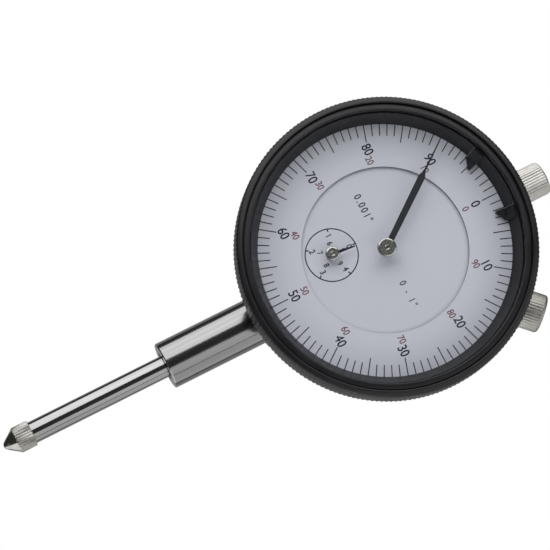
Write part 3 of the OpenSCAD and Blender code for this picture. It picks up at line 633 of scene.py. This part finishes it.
def crystal():
    """Clear crystal with a slight dome and a flat under side."""
    radius = (CRYSTAL_HIGH.x - CRYSTAL_LOW.x) / 2
    base = DIAL_Y - CRYSTAL_HIGH.y
    top = DIAL_Y - CRYSTAL_LOW.y
    edge = base + 0.6 * MM
    dome = (top - edge) * 0.98
    ease = 0.05 * MM
    steps = 12
    profile = [(0.0, base), (radius - ease, base), (radius, base + ease), (radius, edge - 2 * ease)]
    for step in range(steps + 1):
        turn = math.radians(86 - 86 * step / steps)
        profile.append((radius * math.sin(turn), edge + dome * math.cos(turn)))
    mesh = lathe(profile, 180, facing_dial(CENTRE))
    smooth(mesh, 30)
    piece = add_piece("crystal_window", mesh, CRYSTAL, "bezel")
    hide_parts("crystal")


def lifting_knob():
    """Straight-knurled knob on the spindle's upper end."""
    low, high = (Vector(corner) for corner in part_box("lifting_knob"))
    radius = (high.x - low.x) / 2
    length = high.z - low.z
    shank = 1.5 * MM
    socket = 5.2 * MM
    foot_round = 0.25 * MM
    top_round = 0.7 * MM
    crown = 0.15 * MM
    teeth = 42
    profile = [(shank, 0.0)]
    profile += arc((radius - foot_round, foot_round), foot_round, -90, 0, 3)
    profile += arc((radius - top_round, length - crown - top_round), top_round, 0, 80, 5)
    profile += [(radius * 0.4, length - 0.04 * MM), (0.0, length)]
    profile += [(0.0, socket), (shank, socket)]
    place = Matrix.Translation((0, 0, low.z))
    mesh = knurled_lathe(profile, range(3, 8), teeth, 0.12 * MM, place)
    smooth(mesh, 50)
    piece = add_piece("lifting_knob_knurled", mesh, NICKEL, "spindle")
    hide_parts("lifting_knob")


def clamp_screw():
    """Straight-knurled clamp knob with its shank."""
    axis = Vector(JOINTS["clamp_turn"]["axis"]).normalized()
    anchor = Vector(JOINTS["clamp_turn"]["pos_m"])
    foot = Vector((0, anchor.y, CENTRE.z))
    radius = 3.9 * MM
    base = 29.65 * MM
    end = 34.75 * MM
    shank = 1.22 * MM
    shank_end = 21 * MM
    shank_ease = 0.2 * MM
    foot_round = 0.2 * MM
    top_round = 0.65 * MM
    crown = 0.15 * MM
    teeth = 40
    profile = [(0.0, shank_end), (shank - shank_ease, shank_end)]
    profile += [(shank, shank_end + shank_ease), (shank, base)]
    profile += arc((radius - foot_round, base + foot_round), foot_round, -90, 0, 3)
    profile += arc((radius - top_round, end - crown - top_round), top_round, 0, 80, 5)
    profile += [(radius * 0.4, end - 0.04 * MM), (0.0, end)]
    mesh = knurled_lathe(profile, range(6, 11), teeth, 0.11 * MM, along(foot, axis))
    smooth(mesh, 50)
    piece = add_piece("clamp_screw_knurled", mesh, CLAMP_NICKEL, "clamp_screw")
    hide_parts("clamp_screw")


def contact_point():
    """Knurled collar with its shank, and the polished cone below it."""
    low, high = (Vector(corner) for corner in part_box("contact_point"))
    ball_low, ball_high = (Vector(corner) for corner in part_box("contact_ball"))
    ball = (ball_high.z - ball_low.z) / 2
    radius = (high.x - low.x) / 2
    shank = 1.1 * MM
    collar_foot = ball_low.z + 2.65 * MM
    collar_top = collar_foot + 3.45 * MM
    top_round = 0.3 * MM
    foot_ease = 0.2 * MM
    lap = 0.05 * MM
    teeth = 30
    profile = [(0.0, high.z), (shank, high.z), (shank, collar_top)]
    profile += arc((radius - top_round, collar_top - top_round), top_round, 90, 0, 3)
    profile += [(radius, collar_foot + foot_ease), (radius - foot_ease, collar_foot - lap)]
    profile += [(0.0, collar_foot)]
    mesh = knurled_lathe(profile, range(4, 8), teeth, 0.16 * MM, Matrix.Identity(4))
    smooth(mesh, 50)
    collar = add_piece("contact_collar", mesh, POINT_NICKEL, "spindle")
    seat = math.sqrt(max(0.0, ball ** 2 - (ball_low.z + ball - low.z) ** 2))
    cone = [(0.0, collar_foot), (radius - foot_ease - lap, collar_foot - lap)]
    cone += [(radius - top_round, collar_foot - 3 * lap)]
    cone += [(seat + 0.06 * MM, low.z + 0.03 * MM), (seat, low.z), (0.0, ball_low.z + 1.9 * ball)]
    nose_mesh = lathe(cone, 96, Matrix.Identity(4))
    smooth(nose_mesh, 30)
    nose = add_piece("contact_nose", nose_mesh, NOSE_STEEL, "spindle")
    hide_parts("contact_point")
    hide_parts("contact_point")


def hub(name, replaced, body, centre, sleeve, thickness):
    """Turned hub: a bevelled head of a thickness with a countersunk middle, on a sleeve; the middle
    and the head's side carry painted shade.
    """
    low, high = (Vector(corner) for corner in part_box(replaced))
    radius = (high.x - low.x) / 2
    top = -low.y
    rear = -high.y
    head_foot = top - thickness
    arbor = 0.6 * MM
    bevel = 0.34 * MM
    dimple = 0.5 * MM
    ease = 0.08 * MM
    place = facing_dial(Vector((centre.x, 0, centre.z)))
    profile = [(arbor, rear), (arbor, top - 0.34 * MM), (0.0, top - 0.34 * MM)]
    profile += [(0.0, top - 0.3 * MM), (0.25 * dimple, top - 0.28 * MM)]
    profile += [(0.6 * dimple, top - 0.15 * MM), (dimple, top), (radius - bevel, top)]
    profile += [(radius - 0.35 * bevel, top - 0.4 * bevel), (radius, top - bevel)]
    profile += [(radius, head_foot + ease), (radius - ease, head_foot)]
    profile += [(sleeve, head_foot), (sleeve, rear)]
    mesh = lathe(profile, 72, place)
    smooth(mesh, 15)
    # painted shade: the dimple's faces and the head's side take the dark second material
    for face in mesh.polygons:
        middle = face.center - place.translation
        reach = math.hypot(middle.x, middle.z)
        in_dimple = reach < 0.62 * dimple
        on_side = reach > 0.95 * radius and -middle.y < top - bevel
        if in_dimple or on_side:
            face.material_index = 1
    piece = add_piece(name, mesh, HUB_NICKEL, body)
    # second material: the dark grey of the painted shade
    mesh.materials.append(UNPAINTED_EDGE_AND_SHADE)
    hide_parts(replaced)


def limit_clip(start, sweep, low, high, thickness):
    """Clip along the bezel's sloping wall with eased ends; its first end carries a painted
    highlight in lighter steel.
    """
    foot = DIAL_RADIUS - 0.04 * MM
    slope = 0.5
    spread = 0.2 * MM
    ease = 0.16 * MM
    turn_ease = ease / foot
    steps = 8
    turns = [start, start + turn_ease]
    turns += [start + turn_ease + (sweep - 2 * turn_ease) * i / steps for i in range(1, steps)]
    turns += [start + sweep - turn_ease, start + sweep]
    built = bmesh.new()
    sections = []
    for turn in turns:
        cut = ease if turn in (turns[0], turns[-1]) else 0.0
        inner = foot + slope * low - thickness - spread + cut
        outline = [(foot + slope * low, low), (foot + slope * high, high)]
        outline += [(foot + slope * high - thickness + cut, high)]
        outline += [(inner, low + thickness - cut), (inner, low)]
        spots = [clock(CENTRE, radius, turn, DIAL_Y - height) for radius, height in outline]
        sections.append([built.verts.new(spot) for spot in spots])
    # painted highlight: the faces of the first end and its cap take the lighter steel second
    # material
    for number, (first, second) in enumerate(zip(sections, sections[1:])):
        for index in range(len(first)):
            after = (index + 1) % len(first)
            face = built.faces.new((first[index], first[after], second[after], second[index]))
            face.material_index = 1 if number == 0 else 0
    built.faces.new(sections[0]).material_index = 1
    built.faces.new(list(reversed(sections[-1])))
    return mesh_from(built, "clip")


def limit_finger(angle, side, sweep, low, thickness):
    """Pointed finger over the dial, its front edges eased."""
    reach = 22.75 * MM
    root = DIAL_RADIUS - 0.3 * MM
    ease = 0.12 * MM
    corners = [(root, 0.0), (reach + 0.3 * MM, 0.0), (reach, math.radians(0.9))]
    corners += [(reach + 0.9 * MM, 0.6 * sweep), (reach + 1.6 * MM, sweep), (root, sweep)]
    middle = clock(CENTRE, reach + 1.2 * MM, angle + side * sweep / 2, 0)
    built = bmesh.new()
    rings = []
    top = low + thickness
    for height, shrink in ((low, 1.0), (top - ease, 1.0), (top, 0.86)):
        spots = [clock(CENTRE, radius, angle + side * turn, 0) for radius, turn in corners]
        spots = [middle + (spot - middle) * shrink for spot in spots]
        rings.append([built.verts.new((spot.x, DIAL_Y - height, spot.z)) for spot in spots])
    for lower, upper in zip(rings, rings[1:]):
        for index in range(len(lower)):
            after = (index + 1) % len(lower)
            built.faces.new((lower[index], lower[after], upper[after], upper[index]))
    built.faces.new(rings[-1])
    built.faces.new(list(reversed(rings[0])))
    return mesh_from(built, "finger")


def limit_hand(side_name, side, angle):
    """A limit hand: clip and finger on one side of the measuring edge's clockwise angle."""
    low = 0.5 * MM
    high = DIAL_Y - CRYSTAL_HIGH.y - 0.15 * MM
    thickness = 0.45 * MM
    sweep = math.radians(5.6)
    angle = math.radians(angle)
    start = angle if side > 0 else angle - sweep
    clip = limit_clip(start, sweep, low, high, thickness)
    mesh = join_meshes([clip, limit_finger(angle, side, sweep, low, thickness)])
    smooth(mesh, 30)
    body = "limit_" + side_name
    piece = add_piece(body + "_eased", mesh, LIMIT_BLACK, body)
    # second material: the lighter steel of the painted highlight
    mesh.materials.append(HIGHLIGHT_STEEL)
    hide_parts("limit_hand_" + side_name)


bezel()
crystal()
lifting_knob()
clamp_screw()
contact_point()
hub("main_hub_turned", "main_hub", "centre_train", CENTRE, sleeve=0.95 * MM, thickness=0.6 * MM)
hub(
    "small_hub_turned", "small_hub", "rack_train", SMALL_CENTRE,
    sleeve=0.85 * MM, thickness=0.5 * MM,
)
limit_hand("left", -1, -16.4)
limit_hand("right", 1, 7.4)


# ---------------------------------------------------------------- stage, light and camera

CAMERA_AZIMUTH = math.radians(5.73)
CAMERA_ELEVATION = math.radians(-11.11)
CAMERA_ROLL = math.radians(63.44)
CAMERA_DISTANCE = 540 * MM
SENSOR_WIDTH = 36
# width of the picture at the dial, and how far its middle lies from the dial's
FRAME_WIDTH = 107.2125 * MM
AIM_RIGHT = -21.5595 * MM
AIM_UP = -4.9513 * MM

PANEL_DISTANCE = 0.75
AMBIENT = 0.05
FLOOR_RADIUS = 0.15
FLOOR_DROP = 1.5


def camera():
    """Camera below and a little right of the dial, rolled so the spindle points down left."""
    toward = Vector((
        math.sin(CAMERA_AZIMUTH) * math.cos(CAMERA_ELEVATION),
        -math.cos(CAMERA_AZIMUTH) * math.cos(CAMERA_ELEVATION),
        math.sin(CAMERA_ELEVATION),
    ))
    forward = -toward
    right = forward.cross(Vector((0, 0, 1))).normalized()
    up = right.cross(forward)
    rolled_right = right * math.cos(CAMERA_ROLL) + up * math.sin(CAMERA_ROLL)
    rolled_up = up * math.cos(CAMERA_ROLL) - right * math.sin(CAMERA_ROLL)
    spot = CENTRE + toward * CAMERA_DISTANCE
    look = (CENTRE + rolled_right * AIM_RIGHT + rolled_up * AIM_UP - spot).normalized()
    across = (rolled_right - look * rolled_right.dot(look)).normalized()
    above = across.cross(look)
    data = bpy.data.cameras.new("camera")
    data.sensor_width = SENSOR_WIDTH
    data.lens = SENSOR_WIDTH * CAMERA_DISTANCE / FRAME_WIDTH
    data.clip_start = 0.01
    data.clip_end = 20
    view = bpy.data.objects.new("camera", data)
    turned = Matrix((across, above, -look)).transposed().to_4x4()
    view.matrix_world = Matrix.Translation(spot) @ turned
    bpy.context.scene.collection.objects.link(view)
    bpy.context.scene.camera = view


def bearing(turn, elevation):
    """Direction at an angle to the left of the dial's front, seen from above, and an elevation."""
    turn, elevation = math.radians(turn), math.radians(elevation)
    return Vector((
        -math.sin(turn) * math.cos(elevation),
        -math.cos(turn) * math.cos(elevation),
        math.sin(elevation),
    ))


def softbox(name, turn, elevation, size, radiance, distance=PANEL_DISTANCE):
    """Large soft light that faces the dial, its width level; radiance sets its brightness."""
    data = bpy.data.lights.new(name, "AREA")
    data.shape = "RECTANGLE"
    data.size = size[0]
    data.size_y = size[1]
    data.energy = radiance * math.pi * size[0] * size[1]
    light = bpy.data.objects.new(name, data)
    direction = bearing(turn, elevation)
    light.matrix_world = along(CENTRE + direction * distance, direction)
    light.visible_camera = False
    bpy.context.scene.collection.objects.link(light)


def studio():
    """Large soft key at the dial's left, weaker panels on the other sides, white air."""
    softbox("key", turn=56, elevation=16, size=(1.13, 1.5), radiance=1.68)
    softbox("fill", turn=-44.5, elevation=16, size=(0.54, 1.5), radiance=0.79)
    softbox("side", turn=-92.5, elevation=16, size=(0.7, 1.5), radiance=0.68)
    softbox("back", turn=180, elevation=5, size=(2.5, 1.5), radiance=0.32, distance=0.9)
    softbox("low", turn=-105, elevation=-52, size=(0.9, 0.7), radiance=1.3)
    world = bpy.data.worlds.new("studio")
    world.use_nodes = True
    background = world.node_tree.nodes["Background"]
    background.inputs["Color"].default_value = (1, 1, 1, 1)
    background.inputs["Strength"].default_value = AMBIENT
    seen = world.node_tree.nodes.new("ShaderNodeBackground")
    seen.inputs["Color"].default_value = (1, 1, 1, 1)
    seen.inputs["Strength"].default_value = 1.0
    path = world.node_tree.nodes.new("ShaderNodeLightPath")
    mix = world.node_tree.nodes.new("ShaderNodeMixShader")
    links = world.node_tree.links
    links.new(path.outputs["Is Camera Ray"], mix.inputs["Fac"])
    links.new(background.outputs["Background"], mix.inputs[1])
    links.new(seen.outputs["Background"], mix.inputs[2])
    links.new(mix.outputs["Shader"], world.node_tree.nodes["World Output"].inputs["Surface"])
    bpy.context.scene.world = world
    bpy.context.scene.view_settings.view_transform = "Standard"


def floor():
    """Small pale floor far below the object, out of the picture."""
    built = bmesh.new()
    bmesh.ops.create_circle(built, cap_ends=True, segments=96, radius=FLOOR_RADIUS)
    mesh = bpy.data.meshes.new("floor")
    built.to_mesh(mesh)
    built.free()
    shader = Shader("floor_pale", (0.85, 0.85, 0.85), 0.7)
    shader.vary_roughness(shader.noise(30, 2), 0.65, 0.8)
    mesh.materials.append(shader.material)
    plate = bpy.data.objects.new("floor", mesh)
    plate.location = (0, 0, cad_box[0][2] - FLOOR_DROP)
    bpy.context.scene.collection.objects.link(plate)


camera()
studio()
floor()
